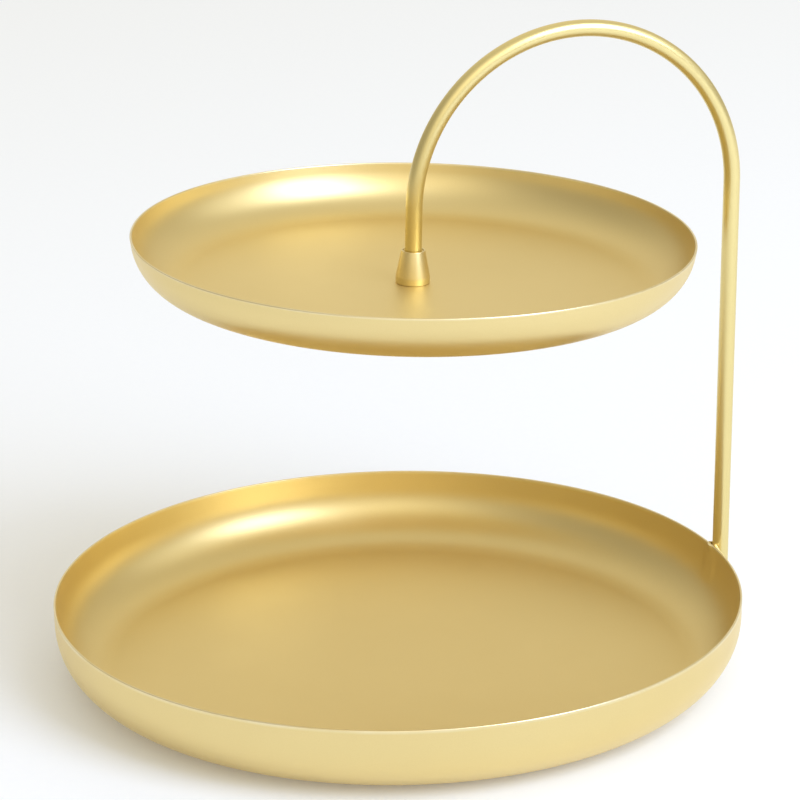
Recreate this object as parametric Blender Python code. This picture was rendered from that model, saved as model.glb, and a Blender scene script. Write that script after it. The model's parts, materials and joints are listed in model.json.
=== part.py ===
"""Two-tier cake stand: two pressed round trays and one bent rod that carries the upper one.

The rod is welded to the outside of the lower tray's wall, rises, bends over in a half circle and
comes down on the middle of the upper tray. There it ends in a conical ferrule, and a screw from
below clamps the tray. Lengths are in metres and +Z is up. The origin is the middle of the
footprint, at the level the stand rests on, and the rod lies in the XZ plane with its leg at +X.
"""

import math

import bmesh
import bpy
from mathutils import Matrix, Vector

# Fits
GAP = 0.0003  # between pieces that touch on the real stand

# Trays
SHEET = 0.0008
LOWER_RADIUS = 0.125
LOWER_HEIGHT = 0.0275
LOWER_CORNER = 0.021  # outside radius between floor and wall
LOWER_FLARE = math.radians(1.5)  # how far the wall leans out
UPPER_RADIUS = 0.100
UPPER_HEIGHT = 0.0182
UPPER_CORNER = 0.0185
UPPER_FLARE = math.radians(8.0)
TRAY_SEGMENTS = 64
CORNER_STEPS = 6
RIM_STEPS = 4

# Bent rod
ROD_RADIUS = 0.003
ARCH_RADIUS = 0.0612
LEG_LEAN = math.radians(0.8)  # the leg leans outward
UPPER_TILT = math.radians(1.8)  # the upper tray's leg side hangs low
LEG_ABOVE_RIM = 0.1405  # from the lower tray's rim to the start of the arch
LEG_BELOW_RIM = 0.0135
LEG_GAP = 0.0004  # between the rod and the lower tray's rim
DROP_TO_RIM = 0.0096  # from the end of the arch to the upper tray's rim
ROD_SIDES = 12
ARCH_STEPS = 30
ROD_CHAMFER = 0.0006

# Fittings at the middle of the upper tray
SCREW_RADIUS = 0.0018
SCREW_REACH = 0.012
HEAD_RADIUS = 0.0038
HEAD_HEIGHT = 0.0024
HEAD_FLAT = 0.002  # radius of the flat on the head's end
HEAD_DOME = 0.0014  # how much of the head's height is rounded
HEAD_STEPS = 4
CROSS_WIDTH = 0.001
CROSS_SPAN = 0.0044
CROSS_DEPTH = 0.0012
TAPPED_DEPTH = 0.0145
TRAY_HOLE = 0.0023
WASHER_HOLE = 0.0022
STEEL_WASHER_RADIUS = 0.0050
STEEL_WASHER = 0.0008
NYLON_WASHER_RADIUS = 0.0060
NYLON_WASHER = 0.001
FERRULE_HEIGHT = 0.0116
FERRULE_BASE = 0.0061
FERRULE_TOP = 0.0042
FERRULE_BAND = 0.0024  # straight part at the foot of the cone
FERRULE_LIP = 0.0004
FERRULE_RECESS = 0.0006
SMALL_CHAMFER = 0.0003
LIP_CHAMFER = 0.00015
FITTING_SEGMENTS = 24

# Weld beads beside the foot of the leg
BEAD_INNER = 0.0021  # from the rod's plane to the bead's thin edge
BEAD_ON_WALL = 0.0048
BEAD_ON_ROD = 0.0031
BEAD_BELOW_RIM = 0.009
BEAD_ABOVE_RIM = 0.0008
BEAD_END = 0.25  # share of its full width that a bead has at its ends
BEAD_LEVELS = 8
BEAD_POINTS = 4

# Feet
PAD_HEIGHT = 0.0012
PAD_RADIUS = 0.006
PAD_CIRCLE = 0.088
PAD_CHAMFER = 0.0003

GOLD = ((0.72, 0.52, 0.21, 1.0), 0.34, 1.0)
STEEL = ((0.62, 0.62, 0.60, 1.0), 0.30, 1.0)
NYLON = ((0.86, 0.85, 0.80, 1.0), 0.45, 0.0)
SILICONE = ((0.78, 0.78, 0.76, 1.0), 0.60, 0.0)

# Places that follow from the sizes above
BASE_Z = PAD_HEIGHT + GAP
RIM_Z = BASE_Z + LOWER_HEIGHT
LEG_OFFSET = LOWER_RADIUS + LEG_GAP + ROD_RADIUS  # from the lower tray's axis, at rim level
REACH = (
    LEG_OFFSET
    + LEG_ABOVE_RIM * math.sin(LEG_LEAN)
    + ARCH_RADIUS * (1 - math.cos(LEG_LEAN))
    + ROD_RADIUS
)
LOWER_X = (LOWER_RADIUS - REACH) / 2  # the arch reaches out past the tray on one side only


def clear_scene():
    for obj in list(bpy.data.objects):
        bpy.data.objects.remove(obj, do_unlink=True)


def material(name, look):
    colour, roughness, metallic = look
    made = bpy.data.materials.new(name)
    made.use_nodes = True
    shader = made.node_tree.nodes["Principled BSDF"]
    shader.inputs["Base Color"].default_value = colour
    shader.inputs["Roughness"].default_value = roughness
    shader.inputs["Metallic"].default_value = metallic
    made.diffuse_color = colour
    return made


def finish(name, work, look, matrix=None, parent=None):
    """Makes an object of a bmesh whose points are in the object's own frame."""
    bmesh.ops.recalc_face_normals(work, faces=work.faces)
    mesh = bpy.data.meshes.new(name)
    work.to_mesh(mesh)
    work.free()
    mesh.shade_smooth()
    mesh.set_sharp_from_angle(angle=math.radians(35))
    mesh.materials.append(material(name, look))
    obj = bpy.data.objects.new(name, mesh)
    bpy.context.scene.collection.objects.link(obj)
    obj.parent = parent
    if matrix is not None:
        obj.matrix_world = matrix
    return obj


def turned(name, outline, look, segments=FITTING_SEGMENTS, matrix=None, parent=None):
    """A turned piece. The outline is (radius, z) points: closed, or open where it ends on the axis."""
    work = bmesh.new()
    points = [work.verts.new((radius, 0, z)) for radius, z in outline]
    edges = [work.edges.new(pair) for pair in zip(points, points[1:])]
    if outline[0][0] > 0:
        edges.append(work.edges.new((points[-1], points[0])))
    bmesh.ops.spin(
        work, geom=points + edges, cent=(0, 0, 0), axis=(0, 0, 1), angle=math.tau, steps=segments
    )
    bmesh.ops.remove_doubles(work, verts=work.verts, dist=1e-6)
    return finish(name, work, look, matrix, parent)


def lofted(name, rings, look):
    """A closed piece through rings of points, with a flat cap on the first and the last."""
    work = bmesh.new()
    loops = [[work.verts.new(point) for point in ring] for ring in rings]
    for low, high in zip(loops, loops[1:]):
        for side in range(len(low)):
            after = (side + 1) % len(low)
            work.faces.new((low[side], low[after], high[after], high[side]))
    work.faces.new(loops[0][::-1])
    work.faces.new(loops[-1])
    return finish(name, work, look)


def tray_outline(radius, height, corner, flare, hole):
    """Half section of a pressed tray: underside and outer wall, round edge, inner wall and floor."""
    wall_foot_z = corner - corner * math.sin(flare)
    floor_radius = radius - (height - wall_foot_z) * math.tan(flare) - corner * math.cos(flare)

    def bend(bend_radius):
        for step in range(CORNER_STEPS + 1):
            angle = (math.pi / 2 - flare) * step / CORNER_STEPS
            yield (
                floor_radius + bend_radius * math.sin(angle),
                corner - bend_radius * math.cos(angle),
            )

    edge = SHEET / 2
    edge_centre = (radius - edge, height - edge)
    rim = [
        (edge_centre[0] + edge * math.cos(angle), edge_centre[1] + edge * math.sin(angle))
        for angle in (math.pi * step / RIM_STEPS for step in range(RIM_STEPS + 1))
    ]
    inner = list(bend(corner - SHEET))[::-1]
    return [(hole, 0), *bend(corner), *rim, *inner, (hole, SHEET)]


def rod_line():
    """The rod's centre line as (point, outward direction) pairs from its foot to its end.

    Both are in the rod's plane, and the outward direction points away from the arch's centre.
    """
    leg_up = Vector((math.sin(LEG_LEAN), 0, math.cos(LEG_LEAN)))
    leg_out = Vector((math.cos(LEG_LEAN), 0, -math.sin(LEG_LEAN)))
    at_rim = Vector((LOWER_X + LEG_OFFSET, 0, RIM_Z))
    foot = at_rim - leg_up * LEG_BELOW_RIM
    centre = at_rim + leg_up * LEG_ABOVE_RIM - leg_out * ARCH_RADIUS
    sweep = math.pi - (UPPER_TILT - LEG_LEAN)
    line = [(foot, leg_out), (foot + leg_up * ROD_CHAMFER, leg_out)]
    for step in range(ARCH_STEPS + 1):
        turn = Matrix.Rotation(-sweep * step / ARCH_STEPS, 3, "Y")
        outward = turn @ leg_out
        line.append((centre + outward * ARCH_RADIUS, outward))
    return line


def seat_matrix():
    """The upper tray's own frame: its origin is the middle of the underside, +Z along the rod."""
    arch_end, outward = rod_line()[-1]
    down = Vector((-outward.z, 0, outward.x))
    seat = arch_end + down * (DROP_TO_RIM + UPPER_HEIGHT)
    return Matrix.Translation(seat) @ Matrix.Rotation(UPPER_TILT, 4, "Y")


def make_trays(seat):
    lower = tray_outline(LOWER_RADIUS, LOWER_HEIGHT, LOWER_CORNER, LOWER_FLARE, 0)
    upper = tray_outline(UPPER_RADIUS, UPPER_HEIGHT, UPPER_CORNER, UPPER_FLARE, TRAY_HOLE)
    place = Matrix.Translation((LOWER_X, 0, BASE_Z))
    turned("lower_tray", lower, GOLD, TRAY_SEGMENTS, matrix=place)
    turned("upper_tray", upper, GOLD, TRAY_SEGMENTS, matrix=seat.matrix_world)


def make_rod(seat):
    """The rod, chamfered at its foot and tapped for the clamp screw at its end."""
    rings = []

    def ring(centre, outward, radius):
        across = Vector((0, 1, 0))
        turns = [math.tau * side / ROD_SIDES for side in range(ROD_SIDES)]
        rings.append(
            [centre + (outward * math.cos(t) + across * math.sin(t)) * radius for t in turns]
        )

    line = rod_line()
    for index, (point, outward) in enumerate(line):
        ring(point, outward, ROD_RADIUS - ROD_CHAMFER if index == 0 else ROD_RADIUS)
    outward = line[-1][1]
    end = seat.matrix_world @ Vector((0, 0, SHEET + GAP))
    blind = seat.matrix_world @ Vector((0, 0, SHEET + GAP + TAPPED_DEPTH))
    ring(end, outward, ROD_RADIUS)
    ring(end, outward, SCREW_RADIUS + GAP)
    ring(blind, outward, SCREW_RADIUS + GAP)
    lofted("arch_rod", rings, GOLD)


def make_ferrule(seat):
    """Conical collar round the rod's end: straight band, cone, thin lip and a recess inside it."""
    low = SHEET + GAP
    high = low + FERRULE_HEIGHT
    bore = ROD_RADIUS + GAP
    outline = [
        (bore, low),
        (FERRULE_BASE - SMALL_CHAMFER, low),
        (FERRULE_BASE, low + SMALL_CHAMFER),
        (FERRULE_BASE, low + FERRULE_BAND),
        (FERRULE_TOP, high - LIP_CHAMFER),
        (FERRULE_TOP - LIP_CHAMFER, high),
        (FERRULE_TOP - FERRULE_LIP, high),
        (FERRULE_TOP - FERRULE_LIP - LIP_CHAMFER, high - FERRULE_RECESS),
        (bore, high - FERRULE_RECESS),
    ]
    turned("rod_ferrule", outline, GOLD, matrix=seat.matrix_world)


def make_washer(seat, name, radius, thickness, top, look):
    outline = [
        (WASHER_HOLE, top - thickness),
        (radius - SMALL_CHAMFER, top - thickness),
        (radius, top - thickness + SMALL_CHAMFER),
        (radius, top),
        (WASHER_HOLE, top),
    ]
    turned(name, outline, look, matrix=seat.matrix_world)
    return top - thickness - GAP


def cross_cutter(seat, head_low):
    """Two crossed bars that cut the driver recess into the screw's head."""
    work = bmesh.new()
    for span_x, span_y in ((CROSS_SPAN, CROSS_WIDTH), (CROSS_WIDTH, CROSS_SPAN)):
        size = Matrix.Diagonal((span_x, span_y, 2 * CROSS_DEPTH, 1))
        bmesh.ops.create_cube(work, size=1, matrix=Matrix.Translation((0, 0, head_low)) @ size)
    cutter = finish("screw_cross_cutter", work, STEEL, matrix=seat.matrix_world)
    cutter.hide_render = True
    cutter.display_type = "WIRE"
    return cutter


def make_screw(seat, head_top):
    """Pan-head screw from below, through the washers and the tray into the rod's end."""
    head_low = head_top - HEAD_HEIGHT
    tip = SHEET + GAP + SCREW_REACH
    dome = [
        (
            HEAD_FLAT + (HEAD_RADIUS - HEAD_FLAT) * math.sin(angle),
            head_low + HEAD_DOME * (1 - math.cos(angle)),
        )
        for angle in (math.pi / 2 * step / HEAD_STEPS for step in range(HEAD_STEPS + 1))
    ]
    outline = [
        (0, head_low),
        *dome,
        (HEAD_RADIUS, head_top),
        (SCREW_RADIUS, head_top),
        (SCREW_RADIUS, tip - SMALL_CHAMFER),
        (SCREW_RADIUS - SMALL_CHAMFER, tip),
        (0, tip),
    ]
    screw = turned("clamp_screw", outline, STEEL, matrix=seat.matrix_world)
    recess = screw.modifiers.new("driver_recess", "BOOLEAN")
    recess.operation = "DIFFERENCE"
    recess.use_self = True  # the cutter's two bars cross
    recess.object = cross_cutter(seat, head_low)


def bead_ring(side, z, swell):
    """One level of a weld bead: along the wall, then back along the rod. swell is 0 to 1."""
    rod_x = LOWER_X + LEG_OFFSET + (z - RIM_Z) * math.tan(LEG_LEAN)
    wall = LOWER_RADIUS - max(RIM_Z - z, 0) * math.tan(LOWER_FLARE) + GAP
    clear = ROD_RADIUS + GAP
    ring = []
    for step in range(BEAD_POINTS):
        y = BEAD_INNER + (BEAD_ON_WALL - BEAD_INNER) * swell * step / (BEAD_POINTS - 1)
        ring.append(Vector((LOWER_X + math.sqrt(wall**2 - y**2), side * y, z)))
    for step in reversed(range(BEAD_POINTS)):
        y = BEAD_INNER + (BEAD_ON_ROD - BEAD_INNER) * swell * step / (BEAD_POINTS - 1)
        ring.append(Vector((rod_x - math.sqrt(clear**2 - y**2), side * y, z)))
    return ring


def make_weld_beads():
    for name, side in (("weld_bead_front", -1), ("weld_bead_rear", 1)):
        rings = []
        for level in range(BEAD_LEVELS + 1):
            along = level / BEAD_LEVELS
            z = RIM_Z - BEAD_BELOW_RIM + (BEAD_BELOW_RIM + BEAD_ABOVE_RIM) * along
            swell = BEAD_END + (1 - BEAD_END) * math.sqrt(math.sin(math.pi * along))
            rings.append(bead_ring(side, z, swell))
        lofted(name, rings, GOLD)


def make_pads():
    outline = [
        (0, 0),
        (PAD_RADIUS - PAD_CHAMFER, 0),
        (PAD_RADIUS, PAD_CHAMFER),
        (PAD_RADIUS, PAD_HEIGHT),
        (0, PAD_HEIGHT),
    ]
    places = ("rear_right", "rear_left", "front_left", "front_right")
    for index, place in enumerate(places):
        angle = math.radians(45 + 90 * index)
        spot = (LOWER_X + PAD_CIRCLE * math.cos(angle), PAD_CIRCLE * math.sin(angle), 0)
        turned(f"foot_pad_{place}", outline, SILICONE, matrix=Matrix.Translation(spot))


def make_seat():
    """An empty at the middle of the upper tray's underside, which the parts there follow."""
    seat = bpy.data.objects.new("upper_tray_seat", None)
    bpy.context.scene.collection.objects.link(seat)
    seat.matrix_world = seat_matrix()
    bpy.context.view_layer.update()
    return seat


def main():
    clear_scene()
    seat = make_seat()
    make_trays(seat)
    make_rod(seat)
    make_ferrule(seat)
    below_nylon = make_washer(seat, "nylon_washer", NYLON_WASHER_RADIUS, NYLON_WASHER, -GAP, NYLON)
    head_top = make_washer(
        seat, "steel_washer", STEEL_WASHER_RADIUS, STEEL_WASHER, below_nylon, STEEL
    )
    make_screw(seat, head_top)
    make_weld_beads()
    make_pads()


main()
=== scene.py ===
"""Looks of the two-tier cake stand: fine surfaces, finishes, studio and camera.

Every CAD node is replaced by a finely meshed piece of the same size. Lengths are in metres, in
the CAD frame: +Z up, the bent rod in the XZ plane with its leg at +X. Places come from the frame,
and the shapes' own sizes are the constants below, which repeat the design's.
"""

import json
import math

import bmesh
import bpy
from mathutils import Matrix, Vector


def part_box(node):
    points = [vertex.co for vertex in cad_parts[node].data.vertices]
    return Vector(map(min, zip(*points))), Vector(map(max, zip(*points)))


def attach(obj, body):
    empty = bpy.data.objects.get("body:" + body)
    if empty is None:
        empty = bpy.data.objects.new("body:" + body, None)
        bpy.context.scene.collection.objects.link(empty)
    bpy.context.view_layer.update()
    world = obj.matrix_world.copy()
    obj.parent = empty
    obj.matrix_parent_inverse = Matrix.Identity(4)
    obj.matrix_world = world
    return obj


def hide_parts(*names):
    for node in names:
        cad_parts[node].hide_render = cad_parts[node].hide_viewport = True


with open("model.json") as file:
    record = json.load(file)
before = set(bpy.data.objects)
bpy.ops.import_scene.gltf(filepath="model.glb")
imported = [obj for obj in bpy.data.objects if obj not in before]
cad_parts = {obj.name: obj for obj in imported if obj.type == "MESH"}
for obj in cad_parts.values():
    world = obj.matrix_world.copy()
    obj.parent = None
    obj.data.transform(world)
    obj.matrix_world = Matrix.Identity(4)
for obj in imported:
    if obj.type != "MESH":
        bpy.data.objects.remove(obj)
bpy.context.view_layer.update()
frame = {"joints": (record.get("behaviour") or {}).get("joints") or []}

# Trays
SHEET = 0.0008
LOWER_CORNER = 0.021
LOWER_FLARE = math.radians(1.5)
UPPER_CORNER = 0.0185
UPPER_FLARE = math.radians(8.0)
TRAY_HOLE = 0.0023
TRAY_STEP = math.radians(1.5)
FINE_STEP = math.radians(0.25)  # near the leg, where the weld's print shows on the lower wall
FINE_SPAN = math.radians(6.0)
CORNER_STEPS = 26
RIM_STEPS = 10
WALL_STEPS = 6
FLOOR_STEPS = 14
RIM_WORN = 0.0009  # depth below the rim at which rubbing starts
RIM_WORN_FADE = 0.0006

FLAT_ROUGHER = 0.11  # the flat floors are a little more matt than the drawn corners and walls
FLAT_FADE = 0.0015  # height above the floor at which that ends

# Print of the weld on the lower tray's inner wall
PRINT_WIDTH = 0.0042
PRINT_HEIGHT = 0.015
PRINT_DEPTH = 0.0003
PRINT_TOP_FADE = 0.0012
PRINT_END_FADE = 0.004
PRINT_PALE = 0.75  # how far the plating there turns to the paler colour
LAP_WIDTH = 0.0018  # half the width of the small lump where the weld laps over the rim
LAP_HEIGHT = 0.0024
LAP_DEPTH = 0.0006
LAP_REACH = 1.4  # how far its edge fades out, in its own width and height

# Bent rod
ROD_RADIUS = 0.003
ARCH_RADIUS = 0.0612
LEG_LEAN = math.radians(0.8)
LEG_ABOVE_RIM = 0.1405
LEG_BELOW_RIM = 0.0135
LEG_GAP = 0.0004
ROD_CHAMFER = 0.0006
ROD_SIDES = 48
LEG_STEPS = 40
ARCH_STEPS = 150
END_STEPS = 10
CHAMFER_STEPS = 4

# Fittings at the middle of the upper tray, heights from the tray's underside
GAP = 0.0003
FERRULE_HEIGHT = 0.0116
FERRULE_BASE = 0.0061
FERRULE_TOP = 0.0042
FERRULE_BAND = 0.0024
FERRULE_LIP = 0.0004
LIP_FOOT = 1.3  # the lip's width at the bottom of the recess, as a share of that at its top
FERRULE_RECESS = 0.0006
FERRULE_SEAT = 0.00005  # its foot all but touches the tray
EDGE_ROUND = 0.0003
EDGE_STEPS = 6
FERRULE_RUBBED = 0.6  # how worn its lip is
FERRULE_RUBBED_FADE = 0.0003
WASHER_ROUND = 0.00024
WASHER_STEPS = 5
WASHER_WORN = 0.0004  # distance from a washer's edge at which rubbing starts
WASHER_WORN_FADE = 0.0003
STEEL_WASHER = 0.0008
NYLON_WASHER = 0.001
WASHER_HOLE = 0.0022
TAPPED_RADIUS = 0.0021
TAPPED_DEPTH = 0.0145
HEAD_RADIUS = 0.0038
HEAD_HEIGHT = 0.0024
HEAD_FLAT = 0.002
HEAD_DOME = 0.0014
HEAD_EDGE = 0.0002
HEAD_WORN = 0.0005
HEAD_WORN_FADE = 0.0004
DOME_STEPS = 16
SCREW_REACH = 0.012
THREAD_CREST = 0.00195
THREAD_ROOT = 0.0016
THREAD_PITCH = 0.0007
THREAD_ROWS = 8  # for each turn
SCREW_TIP = 0.8  # radius of the screw's end, as a share of the thread's root
SCREW_SIDES = 64
CROSS_SPAN = 0.0044
CROSS_WIDTH = 0.0010
CROSS_DEPTH = 0.0012
CROSS_TAPER = 0.6  # size at the bottom of the recess, as a share of that at its mouth
CROSS_OUT = 0.0004  # how far its cutter stands out of the head
FITTING_SIDES = 96

# Pads, as shares of a pad's radius and height
PAD_FLAT = 0.5
PAD_SHOULDER = 0.75
PAD_STEPS = 10
PAD_SIDES = 64
PAD_EDGE = 0.0001

# Weld beads beside the foot of the leg
BEAD_SINK = 0.00015  # how far a bead runs into the metal on both sides of it
BEAD_INNER = 0.0008
BEAD_ON_WALL = 0.0048
BEAD_ON_ROD = 0.00297
BEAD_ROD_SINK = 0.00005
BEAD_ROD_MOST = 0.98  # most of its width that a bead reaches on the rod
BEAD_BELOW_RIM = 0.009
BEAD_ABOVE_RIM = 0.0006
BEAD_END = 0.03
BEAD_BULGE = 0.0004
BEAD_RIPPLE = 0.00006
BEAD_RIPPLES = 9
BEAD_PAINTED_LIGHT = 0.7  # painted light: how far a bead's colour turns to the paler colour, lightening its shading
BEAD_LEVELS = 72
BEAD_POINTS = 14

# Finishes: base colours, roughness, and marks. A scale is in features per metre
GOLD_RED = (0.812, 0.830)
GOLD_BLUE = (0.306, 0.320)
GOLD_GREENER = 0.018
PRESSING_GREEN = 0.655
PRESSING_ROUGHNESS = 0.38
ROD_GREEN = 0.680
ROD_ROUGHNESS = 0.33
GOLD_SPECK = (0.72, 0.56, 0.25)
GOLD_RUBBED = (0.88, 0.77, 0.49)
# Paler gold: the weld's heat tint on the lower tray, and painted light on the weld beads
GOLD_HEAT_TINT_AND_PAINTED_LIGHT = (0.97, 0.86, 0.56)
TONE_SCALE = 14
CLOUD_SCALE = 46
CLOUD_ROUGHNESS = 0.012
GRAIN_SCALE = 2600
GRAIN_ROUGHNESS = 0.02
GRAIN_DEPTH = 0.000006
GRAIN_STRENGTH = 0.6
HAIR_SCALE = 900
HAIR_STRETCH = (1.0, 0.05, 1.0)
HAIR_DEPTH = 0.0000015
HAIR_STRENGTH = 0.3
SPECK_MOST = 0.18
RUBBED_LEAST = 0.35  # patchiness of a worn edge: this share is rubbed everywhere
RUBBED_SMOOTHER = 0.1
ZINC_TINTS = ((0.60, 0.61, 0.63), (0.68, 0.66, 0.60))
ZINC_RUBBED = (0.80, 0.80, 0.79)
ZINC_TINT_SCALE = 420
ZINC_ROUGHNESS = (0.24, 0.38)
ZINC_MARK_SCALE = 5200
ZINC_MARK_STRETCH = (1.0, 1.0, 4.0)
ZINC_MARK_DEPTH = 0.000008
ZINC_MARK_STRENGTH = 0.8
NYLON_TINTS = ((0.84, 0.82, 0.75), (0.90, 0.89, 0.84))
NYLON_CLOUD_SCALE = 700
NYLON_ROUGHNESS = (0.36, 0.5)
NYLON_GRAIN_SCALE = 6000
NYLON_GRAIN_DEPTH = 0.00001
NYLON_SCATTER = 0.2
NYLON_SCATTER_DEPTH = 0.0008
SILICONE_TINTS = ((0.80, 0.80, 0.78), (0.66, 0.65, 0.61))  # clean, then dusty
SILICONE_DUST_SCALE = 1500
SILICONE_ROUGHNESS = (0.42, 0.68)
SILICONE_GRAIN_SCALE = 4200
SILICONE_GRAIN_DEPTH = 0.00002
SILICONE_SCATTER = 0.3
SILICONE_SCATTER_DEPTH = 0.0015
PAPER_TINTS = ((0.845, 0.865, 0.890), (0.865, 0.885, 0.910))
PAPER_FIBRE_SCALE = 300
PAPER_ROUGHNESS = 0.9

# Camera and studio
CAMERA_PLACE = (-0.4070, -1.1600, 0.5276)
CAMERA_HEADING = math.radians(19.23)  # clockwise from +Y, seen from above
CAMERA_PITCH = math.radians(19.12)
CAMERA_ROLL = math.radians(-0.74)
CAMERA_LENS = 163.5
SENSOR_WIDTH = 36.0
CLIP_START = 0.05
CLIP_END = 20.0
FLOOR_SIZE = 7.0
FLOOR_GLOW = 0.12  # keeps the floor near white, as on a lit table
FLOOR_GLOW_COLOUR = (0.95, 0.96, 1.0)
ROOM_LEVEL = 0.42
ROOM_COLOUR = (1.0, 0.95, 0.82)
ROOM_GLOWS = (  # azimuth and elevation in degrees, narrowness, strength
    (20, 25, 3, 0.45),
    (0, 90, 3, 0.31),
    (120, 10, 3, 0.10),
    (195, 29, 7, 1.00),
)
SOFTBOX_AIM = (0, 0, 0.1)
SOFTBOX_DISTANCE = 2.4
SOFTBOXES = (  # name, azimuth, elevation, width, height, radiance, colour
    ("key_softbox", 148, 36, 1.4, 1.9, 4.5, (0.87, 1.0, 1.32)),
    ("side_softbox", 105, 30, 1.2, 1.4, 0.5, (0.94, 1.0, 1.08)),
)

# Where the design's pieces are
LOWER_LOW, LOWER_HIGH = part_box("lower_tray")
LOWER_RADIUS = (LOWER_HIGH.y - LOWER_LOW.y) / 2
LOWER_HEIGHT = LOWER_HIGH.z - LOWER_LOW.z
LOWER_PLACE = Matrix.Translation(((LOWER_LOW.x + LOWER_HIGH.x) / 2, 0, LOWER_LOW.z))
UPPER_LOW, UPPER_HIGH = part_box("upper_tray")
UPPER_RADIUS = (UPPER_HIGH.y - UPPER_LOW.y) / 2
SWIVEL = next(joint for joint in frame["joints"] if joint["name"] == "upper_tray_swivel")
SEAT_POINT = Vector(SWIVEL["pos_m"])
UPPER_TILT = math.atan2(SWIVEL["axis"][0], SWIVEL["axis"][2])
SEAT = Matrix.Translation(SEAT_POINT) @ Matrix.Rotation(UPPER_TILT, 4, "Y")
# the tilted tray's height: its box is as tall as the tray at its rim plus the tilt across it
UPPER_HEIGHT = (
    UPPER_HIGH.z - SEAT_POINT.z - UPPER_RADIUS * math.sin(UPPER_TILT)
) / math.cos(UPPER_TILT)


# ---------------------------------------------------------------- meshes

ON_AXIS = 1e-7
SHARP_ANGLE = math.radians(35)
CORNER_SHARE = 0.45  # most of a side that one corner's rounding may take


def arc(centre, radius, start, end, steps):
    """Points of an arc in an outline's plane. Angles are in radians from the outward axis."""
    angles = [start + (end - start) * step / steps for step in range(steps + 1)]
    return [
        (centre[0] + radius * math.cos(angle), centre[1] + radius * math.sin(angle))
        for angle in angles
    ]


def between(first, last, steps):
    """Points that divide a straight stretch, without its ends."""
    return [
        tuple(a + (b - a) * step / steps for a, b in zip(first, last)) for step in range(1, steps)
    ]


def rounded(points, radius, steps):
    """A closed outline with each of its corners turned into a small arc-like curve."""
    made = []
    for index, corner in enumerate(points):
        here = Vector(corner)
        before = Vector(points[index - 1]) - here
        after = Vector(points[(index + 1) % len(points)]) - here
        reach = min(radius, before.length * CORNER_SHARE, after.length * CORNER_SHARE)
        start = here + before.normalized() * reach
        end = here + after.normalized() * reach
        for step in range(steps + 1):
            t = step / steps
            made.append(tuple(start * (1 - t) ** 2 + here * 2 * t * (1 - t) + end * t**2))
    return made


def piece_of(name, work, material, matrix=None):
    """Makes an object of a bmesh whose points are in the object's own frame."""
    bmesh.ops.recalc_face_normals(work, faces=work.faces)
    mesh = bpy.data.meshes.new(name)
    work.to_mesh(mesh)
    work.free()
    mesh.shade_smooth()
    mesh.set_sharp_from_angle(angle=SHARP_ANGLE)
    mesh.materials.append(material)
    obj = bpy.data.objects.new(name, mesh)
    bpy.context.scene.collection.objects.link(obj)
    if matrix is not None:
        obj.matrix_world = matrix
    return obj


def store(obj, name, value_at):
    """Keeps a value from 0 to 1 on each point, for the material to read."""
    values = [value_at(vertex.co) for vertex in obj.data.vertices]
    obj.data.attributes.new(name, "FLOAT", "POINT").data.foreach_set("value", values)


def store_wear(obj, wear_at):
    """Keeps, on each point, how exposed it is to rubbing: 0 on open faces to 1 on edges."""
    store(obj, "wear", wear_at)


def turned(name, outline, material, turns, matrix=None, shape=None):
    """A turned piece. The outline is (radius, z) points: closed, or open where it ends on the axis."""
    work = bmesh.new()
    columns = []
    poles = {}
    for turn in turns:
        column = []
        for index, (radius, z) in enumerate(outline):
            if radius < ON_AXIS:
                if index not in poles:
                    poles[index] = work.verts.new((0, 0, z))
                column.append(poles[index])
                continue
            point = Vector((radius * math.cos(turn), radius * math.sin(turn), z))
            if shape:
                point = shape(point, radius, turn, index)
            column.append(work.verts.new(point))
        columns.append(column)
    pairs = list(zip(range(len(outline)), range(1, len(outline))))
    if outline[0][0] > ON_AXIS:
        pairs.append((len(outline) - 1, 0))
    for index, column in enumerate(columns):
        after = columns[(index + 1) % len(columns)]
        for low, high in pairs:
            corners = []
            for vertex in (column[low], after[low], after[high], column[high]):
                if vertex not in corners:
                    corners.append(vertex)
            if len(corners) > 2:
                work.faces.new(corners)
    return piece_of(name, work, material, matrix)


def even_turns(count):
    return [math.tau * step / count for step in range(count)]


def lofted(name, rings, material):
    """A closed piece through rings of points, with a flat cap on the first and the last."""
    work = bmesh.new()
    loops = [[work.verts.new(point) for point in ring] for ring in rings]
    for low, high in zip(loops, loops[1:]):
        for side in range(len(low)):
            after = (side + 1) % len(low)
            work.faces.new((low[side], low[after], high[after], high[side]))
    work.faces.new(loops[0][::-1])
    work.faces.new(loops[-1])
    return piece_of(name, work, material)


def placed(piece, body, slot, *nodes):
    """Lets a finished piece ride on its body and stand for its CAD nodes."""
    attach(piece, body)
    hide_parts(*nodes)
    return piece


# ---------------------------------------------------------------- materials


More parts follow.
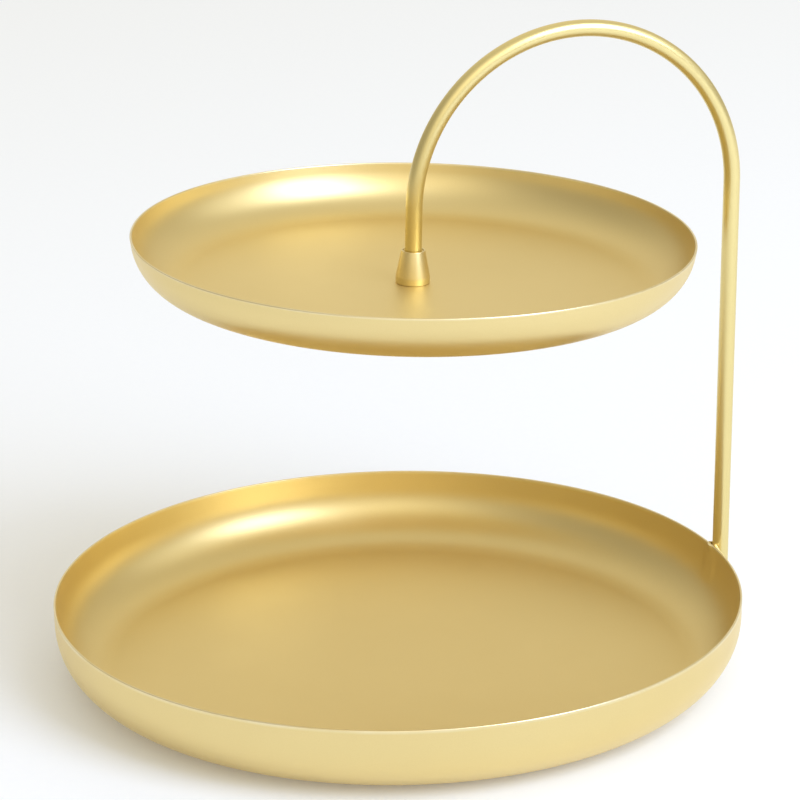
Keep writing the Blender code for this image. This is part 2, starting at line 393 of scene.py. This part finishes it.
class Nodes:
    """Short forms for building one material's node tree."""

    def __init__(self, name):
        self.material = bpy.data.materials.new(name)
        self.material.use_nodes = True
        self.tree = self.material.node_tree
        self.shader = self.tree.nodes["Principled BSDF"]
        self.place = self.add("ShaderNodeTexCoord").outputs["Object"]

    def add(self, kind, **settings):
        node = self.tree.nodes.new(kind)
        for name, value in settings.items():
            setattr(node, name, value)
        return node

    def link(self, source, node, socket):
        self.tree.links.new(source, node.inputs[socket])

    def noise(self, scale, detail=2.0, stretch=None, roughness=0.5):
        """Noise from 0 to 1, in features of about 1/scale metres."""
        place = self.place
        if stretch:
            mapping = self.add("ShaderNodeMapping")
            mapping.inputs["Scale"].default_value = stretch
            self.link(place, mapping, "Vector")
            place = mapping.outputs["Vector"]
        texture = self.add("ShaderNodeTexNoise")
        texture.inputs["Scale"].default_value = scale
        texture.inputs["Detail"].default_value = detail
        texture.inputs["Roughness"].default_value = roughness
        self.link(place, texture, "Vector")
        return texture.outputs["Fac"]

    def ranged(self, source, low, high, to_low=0.0, to_high=1.0):
        """Stretches the source's low to high over to_low to to_high, and holds it there."""
        mapped = self.add("ShaderNodeMapRange")
        mapped.inputs["From Min"].default_value = low
        mapped.inputs["From Max"].default_value = high
        mapped.inputs["To Min"].default_value = to_low
        mapped.inputs["To Max"].default_value = to_high
        self.link(source, mapped, "Value")
        return mapped.outputs["Result"]

    def maths(self, operation, first, second):
        node = self.add("ShaderNodeMath", operation=operation)
        for index, value in enumerate((first, second)):
            if isinstance(value, (int, float)):
                node.inputs[index].default_value = value
            else:
                self.tree.links.new(value, node.inputs[index])
        return node.outputs["Value"]

    def mixed(self, amount, first, second):
        """Mixes two colours, each a tuple or a socket."""
        node = self.add("ShaderNodeMix", data_type="RGBA")
        self.tree.links.new(amount, node.inputs["Factor"])
        for socket, value in ((node.inputs[6], first), (node.inputs[7], second)):
            if isinstance(value, tuple):
                socket.default_value = (*value, 1.0)
            else:
                self.tree.links.new(value, socket)
        return node.outputs[2]

    def bump(self, height, distance, strength=1.0, after=None):
        node = self.add("ShaderNodeBump")
        node.inputs["Distance"].default_value = distance
        node.inputs["Strength"].default_value = strength
        self.link(height, node, "Height")
        if after is not None:
            self.link(after, node, "Normal")
        return node.outputs["Normal"]

    def stored(self, name):
        """A value that store() kept on the points, and 0 on a piece that has none."""
        return self.add("ShaderNodeAttribute", attribute_name=name).outputs["Fac"]


def satin_gold(name, roughness, green):
    """Gold-coloured plating: satin grain, faint drawn lines, cloudy handling marks, rubbed edges,
    paler where the weld heated the tray, painted paler on the weld beads as painted light, and more
    matt on flat floors. Green is its deeper tint's share."""
    made = Nodes(name)
    tone = made.ranged(made.noise(TONE_SCALE, 3), 0.3, 0.7)
    grain = made.noise(GRAIN_SCALE, 2, roughness=0.6)
    clouds = made.noise(CLOUD_SCALE, 4)
    hairs = made.noise(HAIR_SCALE, 1, stretch=HAIR_STRETCH)
    deep = (GOLD_RED[0], green, GOLD_BLUE[0])
    light = (GOLD_RED[1], green + GOLD_GREENER, GOLD_BLUE[1])
    colour = made.mixed(tone, deep, light)
    speck = made.ranged(grain, 0.35, 0.75, 0.0, SPECK_MOST)
    colour = made.mixed(speck, colour, GOLD_SPECK)
    patchy = made.ranged(clouds, 0.32, 0.6, RUBBED_LEAST)
    rubbed = made.maths("MULTIPLY", made.stored("wear"), patchy)
    colour = made.mixed(rubbed, colour, GOLD_RUBBED)
    # paler where the weld heated the tray, and painted light that makes the weld beads paler
    heat_tint_and_painted_light_share = made.maths("MULTIPLY", made.stored("heat"), PRINT_PALE)
    colour = made.mixed(heat_tint_and_painted_light_share, colour, GOLD_HEAT_TINT_AND_PAINTED_LIGHT)
    made.link(colour, made.shader, "Base Color")
    low, high = roughness - CLOUD_ROUGHNESS, roughness + CLOUD_ROUGHNESS
    cloudy = made.ranged(clouds, 0.3, 0.7, low, high)
    grainy = made.ranged(grain, 0.2, 0.8, -GRAIN_ROUGHNESS, GRAIN_ROUGHNESS)
    polished = made.ranged(rubbed, 0.0, 1.0, 0.0, -RUBBED_SMOOTHER)
    rough = made.maths("ADD", made.maths("ADD", cloudy, grainy), polished)
    rough = made.maths("ADD", rough, made.maths("MULTIPLY", made.stored("flat"), FLAT_ROUGHER))
    made.link(rough, made.shader, "Roughness")
    made.shader.inputs["Metallic"].default_value = 1.0
    normal = made.bump(grain, GRAIN_DEPTH, GRAIN_STRENGTH)
    normal = made.bump(hairs, HAIR_DEPTH, HAIR_STRENGTH, after=normal)
    made.link(normal, made.shader, "Normal")
    return made.material


def zinc_steel():
    """Zinc-plated steel: turning marks, faint cold and warm tints, bright edges."""
    made = Nodes("zinc_plated_steel")
    tint = made.ranged(made.noise(ZINC_TINT_SCALE, 3), 0.35, 0.65)
    colour = made.mixed(tint, *ZINC_TINTS)
    colour = made.mixed(made.stored("wear"), colour, ZINC_RUBBED)
    made.link(colour, made.shader, "Base Color")
    marks = made.noise(ZINC_MARK_SCALE, 2, stretch=ZINC_MARK_STRETCH)
    made.link(made.ranged(marks, 0.2, 0.8, *ZINC_ROUGHNESS), made.shader, "Roughness")
    made.shader.inputs["Metallic"].default_value = 1.0
    normal = made.bump(marks, ZINC_MARK_DEPTH, ZINC_MARK_STRENGTH)
    made.link(normal, made.shader, "Normal")
    return made.material


def natural_nylon():
    """Off-white moulded nylon, slightly waxy."""
    made = Nodes("natural_nylon_moulding")
    clouds = made.noise(NYLON_CLOUD_SCALE, 3)
    colour = made.mixed(made.ranged(clouds, 0.3, 0.7), *NYLON_TINTS)
    made.link(colour, made.shader, "Base Color")
    made.link(made.ranged(clouds, 0.2, 0.8, *NYLON_ROUGHNESS), made.shader, "Roughness")
    grain = made.noise(NYLON_GRAIN_SCALE, 2)
    made.link(made.bump(grain, NYLON_GRAIN_DEPTH), made.shader, "Normal")
    made.shader.inputs["Subsurface Weight"].default_value = NYLON_SCATTER
    made.shader.inputs["Subsurface Scale"].default_value = NYLON_SCATTER_DEPTH
    return made.material


def clear_silicone():
    """Milky silicone of stick-on feet, with dust caught on it."""
    made = Nodes("milky_silicone")
    dust = made.noise(SILICONE_DUST_SCALE, 4)
    colour = made.mixed(made.ranged(dust, 0.45, 0.7), *SILICONE_TINTS)
    made.link(colour, made.shader, "Base Color")
    made.link(made.ranged(dust, 0.3, 0.7, *SILICONE_ROUGHNESS), made.shader, "Roughness")
    grain = made.noise(SILICONE_GRAIN_SCALE, 3)
    made.link(made.bump(grain, SILICONE_GRAIN_DEPTH), made.shader, "Normal")
    made.shader.inputs["Subsurface Weight"].default_value = SILICONE_SCATTER
    made.shader.inputs["Subsurface Scale"].default_value = SILICONE_SCATTER_DEPTH
    return made.material


# ---------------------------------------------------------------- trays


def tray_outline(radius, height, corner, flare, hole):
    """Half section of a pressed tray: underside and outer wall, round edge, inner wall and floor."""
    wall_foot = corner - corner * math.sin(flare)
    floor_radius = radius - (height - wall_foot) * math.tan(flare) - corner * math.cos(flare)
    bend_centre = (floor_radius, corner)
    edge = SHEET / 2
    outer = arc(bend_centre, corner, -math.pi / 2, -flare, CORNER_STEPS)
    inner = arc(bend_centre, corner - SHEET, -flare, -math.pi / 2, CORNER_STEPS)
    rim = arc((radius - edge, height - edge), edge, 0, math.pi, RIM_STEPS)
    under = [(hole, 0), *between((hole, 0), outer[0], FLOOR_STEPS)]
    floor = [*between(inner[-1], (hole, SHEET), FLOOR_STEPS), (hole, SHEET)]
    return [
        *under,
        *outer,
        *between(outer[-1], rim[0], WALL_STEPS),
        *rim,
        *between(rim[-1], inner[0], WALL_STEPS),
        *inner,
        *floor,
    ]


def smooth_step(value):
    value = min(max(value, 0.0), 1.0)
    return value * value * (3 - 2 * value)


def print_share(point):
    """How much a point of the lower tray lies in the weld's print, from 0 to 1.

    It is all there up to half of its width from the rod's plane and gone at one and a half.
    """
    if point.x < 0 or abs(point.y) > PRINT_WIDTH * 2:
        return 0.0
    side = smooth_step(1.5 - abs(point.y) / PRINT_WIDTH)
    up = smooth_step((LOWER_HEIGHT - SHEET / 2 - point.z) / PRINT_TOP_FADE)
    down = smooth_step((point.z - (LOWER_HEIGHT - PRINT_HEIGHT)) / PRINT_END_FADE)
    return side * up * down


def lap_share(point):
    """How much a point of the lower tray lies in the weld's lap over the rim, from 0 to 1."""
    if point.x < 0:
        return 0.0
    away = math.hypot(point.y / LAP_WIDTH, (LOWER_HEIGHT - point.z) / LAP_HEIGHT)
    return smooth_step(LAP_REACH - away)


def on_inside(point):
    """Whether a point of the lower tray is on the inside of its wall."""
    below_rim = max(LOWER_HEIGHT - point.z, 0)
    wall = LOWER_RADIUS - SHEET * 0.9 - below_rim * math.tan(LOWER_FLARE)
    return math.hypot(point.x, point.y) < wall


def weld_heat(point):
    """How much the weld's heat changed the plating at a point of the lower tray."""
    if not on_inside(point):
        return 0.0
    return max(print_share(point), lap_share(point))


def weld_print(point, radius, turn, index):
    """Shape of the lower tray: inside the wall, the weld's print and lap stand in by a hair."""
    if not on_inside(point):
        return point
    shift = PRINT_DEPTH * print_share(point) + LAP_DEPTH * lap_share(point)
    return point - Vector((math.cos(turn), math.sin(turn), 0)) * shift


def tray_turns():
    """Even turns round a tray, closer together near the leg."""
    coarse = [TRAY_STEP * step for step in range(round(math.tau / TRAY_STEP))]
    kept = [turn for turn in coarse if min(turn, math.tau - turn) > FINE_SPAN + 1e-6]
    fine_count = round(FINE_SPAN / FINE_STEP)
    fine = [(FINE_STEP * step) % math.tau for step in range(-fine_count, fine_count + 1)]
    return sorted(kept + fine)


def rim_wear(height):
    """Wear on a tray: full on the rim's round edge, fading just below it."""
    return lambda point: smooth_step((point.z - (height - RIM_WORN)) / RIM_WORN_FADE)


def make_trays(gold):
    lower = tray_outline(LOWER_RADIUS, LOWER_HEIGHT, LOWER_CORNER, LOWER_FLARE, 0)
    upper = tray_outline(UPPER_RADIUS, UPPER_HEIGHT, UPPER_CORNER, UPPER_FLARE, TRAY_HOLE)
    lower_tray = turned("lower_tray_pressing", lower, gold, tray_turns(), LOWER_PLACE, weld_print)
    upper_tray = turned("upper_tray_pressing", upper, gold, tray_turns(), SEAT)
    store_wear(lower_tray, rim_wear(LOWER_HEIGHT))
    store(lower_tray, "heat", weld_heat)
    for tray in (lower_tray, upper_tray):
        store(tray, "flat", lambda point: 1 - smooth_step((point.z - SHEET) / FLAT_FADE))
    store_wear(upper_tray, rim_wear(UPPER_HEIGHT))
    placed(lower_tray, "stand", "satin_gold", "lower_tray")
    placed(upper_tray, "upper_tray", "satin_gold", "upper_tray")


# ---------------------------------------------------------------- rod and weld


def leg_at_rim():
    """The rod's centre where it passes the lower tray's rim."""
    offset = LOWER_RADIUS + LEG_GAP + ROD_RADIUS
    return LOWER_PLACE.translation + Vector((offset, 0, LOWER_HEIGHT))


def rod_line():
    """The rod's centre line as (point, outward direction) pairs from its foot to its end."""
    leg_up = Vector((math.sin(LEG_LEAN), 0, math.cos(LEG_LEAN)))
    leg_out = Vector((math.cos(LEG_LEAN), 0, -math.sin(LEG_LEAN)))
    at_rim = leg_at_rim()
    foot = at_rim - leg_up * LEG_BELOW_RIM
    length = LEG_BELOW_RIM + LEG_ABOVE_RIM
    centre = at_rim + leg_up * LEG_ABOVE_RIM - leg_out * ARCH_RADIUS
    sweep = math.pi - (UPPER_TILT - LEG_LEAN)
    line = []
    for step in range(LEG_STEPS):
        along = ROD_CHAMFER + (length - ROD_CHAMFER) * step / LEG_STEPS
        line.append((foot + leg_up * along, leg_out))
    for step in range(ARCH_STEPS + 1):
        outward = Matrix.Rotation(-sweep * step / ARCH_STEPS, 3, "Y") @ leg_out
        line.append((centre + outward * ARCH_RADIUS, outward))
    return line


def rod_ring(centre, outward, radius):
    across = Vector((0, 1, 0))
    return [
        centre + (outward * math.cos(turn) + across * math.sin(turn)) * radius
        for turn in even_turns(ROD_SIDES)
    ]


def make_rod(gold):
    """The rod: chamfered foot, leg, arch, and the tapped end that stands on the upper tray."""
    line = rod_line()
    start, leg_out = line[0]
    leg_up = (line[1][0] - start).normalized()
    rings = []
    for step in range(CHAMFER_STEPS):
        angle = math.pi / 2 * step / CHAMFER_STEPS
        drop = ROD_CHAMFER * (1 - math.sin(angle))
        radius = ROD_RADIUS - drop
        rings.append(rod_ring(start - leg_up * drop, leg_out, radius))
    rings += [rod_ring(point, outward, ROD_RADIUS) for point, outward in line]
    arch_end, outward = line[-1]
    low = SHEET + GAP
    end = SEAT @ Vector((0, 0, low))
    blind = SEAT @ Vector((0, 0, low + TAPPED_DEPTH))
    for step in range(1, END_STEPS):
        rings.append(rod_ring(arch_end.lerp(end, step / END_STEPS), outward, ROD_RADIUS))
    rings.append(rod_ring(end, outward, ROD_RADIUS))
    rings.append(rod_ring(end, outward, TAPPED_RADIUS))
    rings.append(rod_ring(blind, outward, TAPPED_RADIUS))
    rod = lofted("bent_rod", rings, gold)
    store_wear(rod, lambda point: 0.0)
    placed(rod, "stand", "satin_gold", "arch_rod")


def bead_ring(side, level):
    """One level of a weld bead: out along the wall, then back along its own face to the rod."""
    along = (1 - math.cos(math.pi * level / BEAD_LEVELS)) / 2
    height = BEAD_BELOW_RIM + BEAD_ABOVE_RIM
    z = LOWER_HIGH.z - BEAD_BELOW_RIM + height * along
    swell = BEAD_END + (1 - BEAD_END) * math.sqrt(max(math.sin(math.pi * along), 0.0))
    ripple = BEAD_RIPPLE * math.sin(math.tau * BEAD_RIPPLES * along)
    middle = LOWER_PLACE.translation.x
    rod_x = leg_at_rim().x + (z - LOWER_HIGH.z) * math.tan(LEG_LEAN)
    wall = LOWER_RADIUS - max(LOWER_HIGH.z - z, 0) * math.tan(LOWER_FLARE) - BEAD_SINK
    clear = ROD_RADIUS - BEAD_ROD_SINK
    on_wall = BEAD_INNER + (BEAD_ON_WALL - BEAD_INNER) * swell + ripple
    on_rod = BEAD_INNER + (BEAD_ON_ROD - BEAD_INNER) * min(swell, BEAD_ROD_MOST)
    wall_end = Vector((middle + math.sqrt(wall**2 - on_wall**2), on_wall, z))
    rod_end = Vector((rod_x - math.sqrt(max(clear**2 - on_rod**2, 0)), on_rod, z))
    ring = []
    for step in range(BEAD_POINTS):
        y = BEAD_INNER + (on_wall - BEAD_INNER) * step / BEAD_POINTS
        ring.append(Vector((middle + math.sqrt(wall**2 - y**2), y, z)))
    chord = rod_end - wall_end
    bulge = Vector((-chord.y, chord.x, 0)).normalized() * -(BEAD_BULGE * swell + ripple)
    for step in range(BEAD_POINTS):
        t = step / BEAD_POINTS
        ring.append(wall_end + chord * t + bulge * math.sin(math.pi * t))
    for step in range(BEAD_POINTS + 1):
        y = on_rod + (BEAD_INNER - on_rod) * step / BEAD_POINTS
        ring.append(Vector((rod_x - math.sqrt(max(clear**2 - y**2, 0)), y, z)))
    return [Vector((point.x, side * point.y, point.z)) for point in ring]


def make_weld_beads(gold):
    for node, side in (("weld_bead_front", -1), ("weld_bead_rear", 1)):
        rings = [bead_ring(side, level) for level in range(BEAD_LEVELS + 1)]
        bead = lofted(node.replace("bead", "seam"), rings, gold)
        store_wear(bead, lambda point: 0.0)
        # painted light: each whole bead is painted paler to lighten its shading
        store(bead, "heat", lambda point: BEAD_PAINTED_LIGHT)
        placed(bead, "stand", "satin_gold", node)


# ---------------------------------------------------------------- fittings


def make_ferrule(gold):
    """Conical collar round the rod's end: straight band, cone, thin lip and a recess inside the lip."""
    low = SHEET + FERRULE_SEAT
    high = SHEET + GAP + FERRULE_HEIGHT
    bore = ROD_RADIUS + FERRULE_SEAT
    corners = [
        (bore, low),
        (FERRULE_BASE, low),
        (FERRULE_BASE, low + FERRULE_BAND),
        (FERRULE_TOP, high),
        (FERRULE_TOP - FERRULE_LIP, high),
        (FERRULE_TOP - FERRULE_LIP * LIP_FOOT, high - FERRULE_RECESS),
        (bore, high - FERRULE_RECESS),
    ]
    outline = rounded(corners, EDGE_ROUND, EDGE_STEPS)
    ferrule = turned("rod_end_ferrule", outline, gold, even_turns(FITTING_SIDES), SEAT)

    def wear(point):
        if math.hypot(point.x, point.y) < FERRULE_TOP - FERRULE_LIP * 1.5:
            return 0.0
        from_top = point.z - high + FERRULE_RUBBED_FADE
        return FERRULE_RUBBED * smooth_step(from_top / FERRULE_RUBBED_FADE)

    store_wear(ferrule, wear)
    placed(ferrule, "stand", "satin_gold", "rod_ferrule")


def edge_wear(radius, reach, fade):
    """Wear of a round piece that grows towards its outer edge."""
    return lambda point: smooth_step((math.hypot(point.x, point.y) - radius + reach) / fade)


def make_washer(name, node, material, slot):
    """A flat washer with rounded edges, at the height and radius of its CAD node."""
    low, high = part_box(node)
    radius = (high.y - low.y) / 2
    thickness = {"nylon_washer": NYLON_WASHER, "steel_washer": STEEL_WASHER}[node]
    top = -GAP if node == "nylon_washer" else -GAP - NYLON_WASHER - GAP
    corners = [
        (WASHER_HOLE, top - thickness),
        (radius, top - thickness),
        (radius, top),
        (WASHER_HOLE, top),
    ]
    outline = rounded(corners, WASHER_ROUND, WASHER_STEPS)
    washer = turned(name, outline, material, even_turns(FITTING_SIDES), SEAT)
    store_wear(washer, edge_wear(radius, WASHER_WORN, WASHER_WORN_FADE))
    placed(washer, "stand", slot, node)


def cross_bar(work, long_x, long_y, head_low):
    """One tapered bar of the driver recess: full size at the mouth, narrower inside the head."""
    loops = []
    levels = ((head_low - CROSS_OUT, 1.0), (head_low, 1.0), (head_low + CROSS_DEPTH, CROSS_TAPER))
    for z, share in levels:
        x, y = long_x * share / 2, long_y * share / 2
        corners = ((-x, -y, z), (x, -y, z), (x, y, z), (-x, y, z))
        loops.append([work.verts.new(corner) for corner in corners])
    for low, high in zip(loops, loops[1:]):
        for side in range(4):
            after = (side + 1) % 4
            work.faces.new((low[side], low[after], high[after], high[side]))
    work.faces.new(loops[0][::-1])
    work.faces.new(loops[-1])


def make_screw(steel):
    """Pan-head screw from below: domed head with a driver recess, and a rolled thread."""
    head_top = -3 * GAP - NYLON_WASHER - STEEL_WASHER
    head_low = head_top - HEAD_HEIGHT
    tip = SHEET + GAP + SCREW_REACH
    dome = []
    for step in range(DOME_STEPS + 1):
        rise = math.pi / 2 * step / DOME_STEPS
        across = HEAD_FLAT + (HEAD_RADIUS - HEAD_FLAT) * math.sin(rise)
        dome.append((across, head_low + HEAD_DOME * (1 - math.cos(rise))))
    shank = [(THREAD_ROOT, head_top)]
    rows = round((tip - head_top) / THREAD_PITCH * THREAD_ROWS)
    shank += between((THREAD_ROOT, head_top), (THREAD_ROOT, tip), rows)
    outline = [
        (0, head_low),
        (HEAD_FLAT / 2, head_low),
        *dome,
        (HEAD_RADIUS, head_top - HEAD_EDGE),
        (HEAD_RADIUS - HEAD_EDGE, head_top),
        *shank,
        (THREAD_ROOT * SCREW_TIP, tip),
        (0, tip),
    ]
    first = outline.index(shank[0]) + 1
    last = first + rows - 3

    def thread(point, radius, turn, index):
        if not first < index < last:
            return point
        phase = ((point.z - head_top) / THREAD_PITCH - turn / math.tau) % 1.0
        height = 1 - abs(2 * phase - 1)
        fade = min((index - first) / THREAD_ROWS, (last - index) / THREAD_ROWS, 1.0)
        grown = THREAD_ROOT + (THREAD_CREST - THREAD_ROOT) * height * fade
        return Vector((grown * math.cos(turn), grown * math.sin(turn), point.z))

    screw = turned("pan_head_screw", outline, steel, even_turns(SCREW_SIDES), SEAT, thread)
    work = bmesh.new()
    cross_bar(work, CROSS_SPAN, CROSS_WIDTH, head_low)
    cross_bar(work, CROSS_WIDTH, CROSS_SPAN, head_low)
    cutter = piece_of("cross_cutter", work, steel, SEAT)
    cut = screw.modifiers.new("recess", "BOOLEAN")
    cut.operation = "DIFFERENCE"
    cut.use_self = True
    cut.object = cutter
    bpy.context.view_layer.update()
    graph = bpy.context.evaluated_depsgraph_get()
    finished = bpy.data.meshes.new_from_object(screw.evaluated_get(graph))
    screw.modifiers.clear()
    screw.data = finished
    finished.set_sharp_from_angle(angle=SHARP_ANGLE)
    bpy.data.objects.remove(cutter, do_unlink=True)
    store_wear(screw, edge_wear(HEAD_RADIUS, HEAD_WORN, HEAD_WORN_FADE))
    placed(screw, "stand", "screw_steel", "clamp_screw")


def make_pads(silicone):
    """Stick-on feet: a flat disc with a softly domed edge under each of the four CAD pads."""
    for place in ("rear_right", "rear_left", "front_left", "front_right"):
        node = f"foot_pad_{place}"
        low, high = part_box(node)
        radius = (high.x - low.x) / 2
        height = high.z - low.z
        shoulder = height * PAD_SHOULDER
        outline = [
            (0, 0),
            (radius * PAD_FLAT, 0),
            *arc((radius - shoulder, shoulder), shoulder, -math.pi / 2, 0, PAD_STEPS),
            (radius, height - PAD_EDGE),
            (radius - PAD_EDGE, height),
            (radius * PAD_FLAT, height),
            (0, height),
        ]
        spot = Matrix.Translation(((low.x + high.x) / 2, (low.y + high.y) / 2, low.z))
        pad = turned(f"silicone_foot_{place}", outline, silicone, even_turns(PAD_SIDES), spot)
        placed(pad, "stand", "silicone", node)


# ---------------------------------------------------------------- studio


def make_floor():
    """A plain pale floor that stays near white, with soft contact shadows."""
    bpy.ops.mesh.primitive_grid_add(x_subdivisions=8, y_subdivisions=8, size=FLOOR_SIZE)
    floor = bpy.context.object
    floor.name = "studio_floor"
    made = Nodes("studio_paper")
    fibres = made.noise(PAPER_FIBRE_SCALE, 3)
    made.link(made.mixed(fibres, *PAPER_TINTS), made.shader, "Base Color")
    made.shader.inputs["Roughness"].default_value = PAPER_ROUGHNESS
    made.shader.inputs["Specular IOR Level"].default_value = 0.0
    made.shader.inputs["Emission Color"].default_value = (*FLOOR_GLOW_COLOUR, 1.0)
    made.shader.inputs["Emission Strength"].default_value = FLOOR_GLOW
    floor.data.materials.append(made.material)


def bearing(azimuth, elevation):
    """Unit vector towards a compass bearing in degrees: azimuth clockwise from +Y, seen from above."""
    turn, rise = math.radians(azimuth), math.radians(elevation)
    return Vector((math.sin(turn) * math.cos(rise), math.cos(turn) * math.cos(rise), math.sin(rise)))


def make_world():
    """A dim, slightly warm room with a few broad glows, given by bearing, narrowness and strength."""
    world = bpy.data.worlds.new("studio")
    world.use_nodes = True
    tree = world.node_tree
    back = tree.nodes["Background"]
    direction = tree.nodes.new("ShaderNodeTexCoord").outputs["Generated"]
    total = None
    for azimuth, elevation, spread, strength in ROOM_GLOWS:
        dot = tree.nodes.new("ShaderNodeVectorMath")
        dot.operation = "DOT_PRODUCT"
        dot.inputs[1].default_value = bearing(azimuth, elevation)
        tree.links.new(direction, dot.inputs[0])
        value = dot.outputs["Value"]
        for operation, amount in (("MAXIMUM", 0.0), ("POWER", spread), ("MULTIPLY", strength)):
            step = tree.nodes.new("ShaderNodeMath")
            step.operation = operation
            step.inputs[1].default_value = amount
            tree.links.new(value, step.inputs[0])
            value = step.outputs["Value"]
        sum_node = tree.nodes.new("ShaderNodeMath")
        sum_node.operation = "ADD"
        sum_node.inputs[1].default_value = ROOM_LEVEL
        tree.links.new(value, sum_node.inputs[0])
        if total is not None:
            tree.links.new(total, sum_node.inputs[1])
        total = sum_node.outputs["Value"]
    tree.links.new(total, back.inputs["Strength"])
    back.inputs["Color"].default_value = (*ROOM_COLOUR, 1.0)
    bpy.context.scene.world = world


def make_softboxes():
    """Rectangular lights that face the stand, each given by its bearing, size, radiance and colour."""
    for name, azimuth, elevation, width, height, radiance, colour in SOFTBOXES:
        data = bpy.data.lights.new(name, "AREA")
        data.shape = "RECTANGLE"
        data.size = width
        data.size_y = height
        data.energy = radiance * math.pi * width * height
        data.color = colour
        light = bpy.data.objects.new(name, data)
        bpy.context.scene.collection.objects.link(light)
        toward = bearing(azimuth, elevation)
        light.location = Vector(SOFTBOX_AIM) + toward * SOFTBOX_DISTANCE
        light.rotation_mode = "QUATERNION"
        light.rotation_quaternion = toward.to_track_quat("Z", "Y")


def make_camera():
    """The camera at the photograph's viewing angle."""
    data = bpy.data.cameras.new("camera")
    camera = bpy.data.objects.new("camera", data)
    bpy.context.scene.collection.objects.link(camera)
    data.lens = CAMERA_LENS
    data.sensor_width = SENSOR_WIDTH
    data.clip_start = CLIP_START
    data.clip_end = CLIP_END
    turn = Matrix.Rotation(-CAMERA_HEADING, 4, "Z")
    nod = Matrix.Rotation(math.pi / 2 - CAMERA_PITCH, 4, "X")
    roll = Matrix.Rotation(CAMERA_ROLL, 4, "Z")
    camera.matrix_world = Matrix.Translation(CAMERA_PLACE) @ turn @ nod @ roll
    bpy.context.scene.camera = camera


def set_view():
    settings = bpy.context.scene.view_settings
    settings.view_transform = "Standard"
    settings.look = "None"
    settings.exposure = 0.0
    settings.gamma = 1.0


def main():
    tray_gold = satin_gold("satin_gold_pressing", PRESSING_ROUGHNESS, PRESSING_GREEN)
    rod_gold = satin_gold("satin_gold_drawn_rod", ROD_ROUGHNESS, ROD_GREEN)
    steel = zinc_steel()
    make_trays(tray_gold)
    make_rod(rod_gold)
    make_weld_beads(tray_gold)
    make_ferrule(tray_gold)
    make_washer("nylon_ring", "nylon_washer", natural_nylon(), "nylon")
    make_washer("steel_ring", "steel_washer", steel, "screw_steel")
    make_screw(steel)
    make_pads(clear_silicone())
    make_floor()
    make_world()
    make_softboxes()
    make_camera()
    set_view()
    bpy.context.view_layer.update()


main()
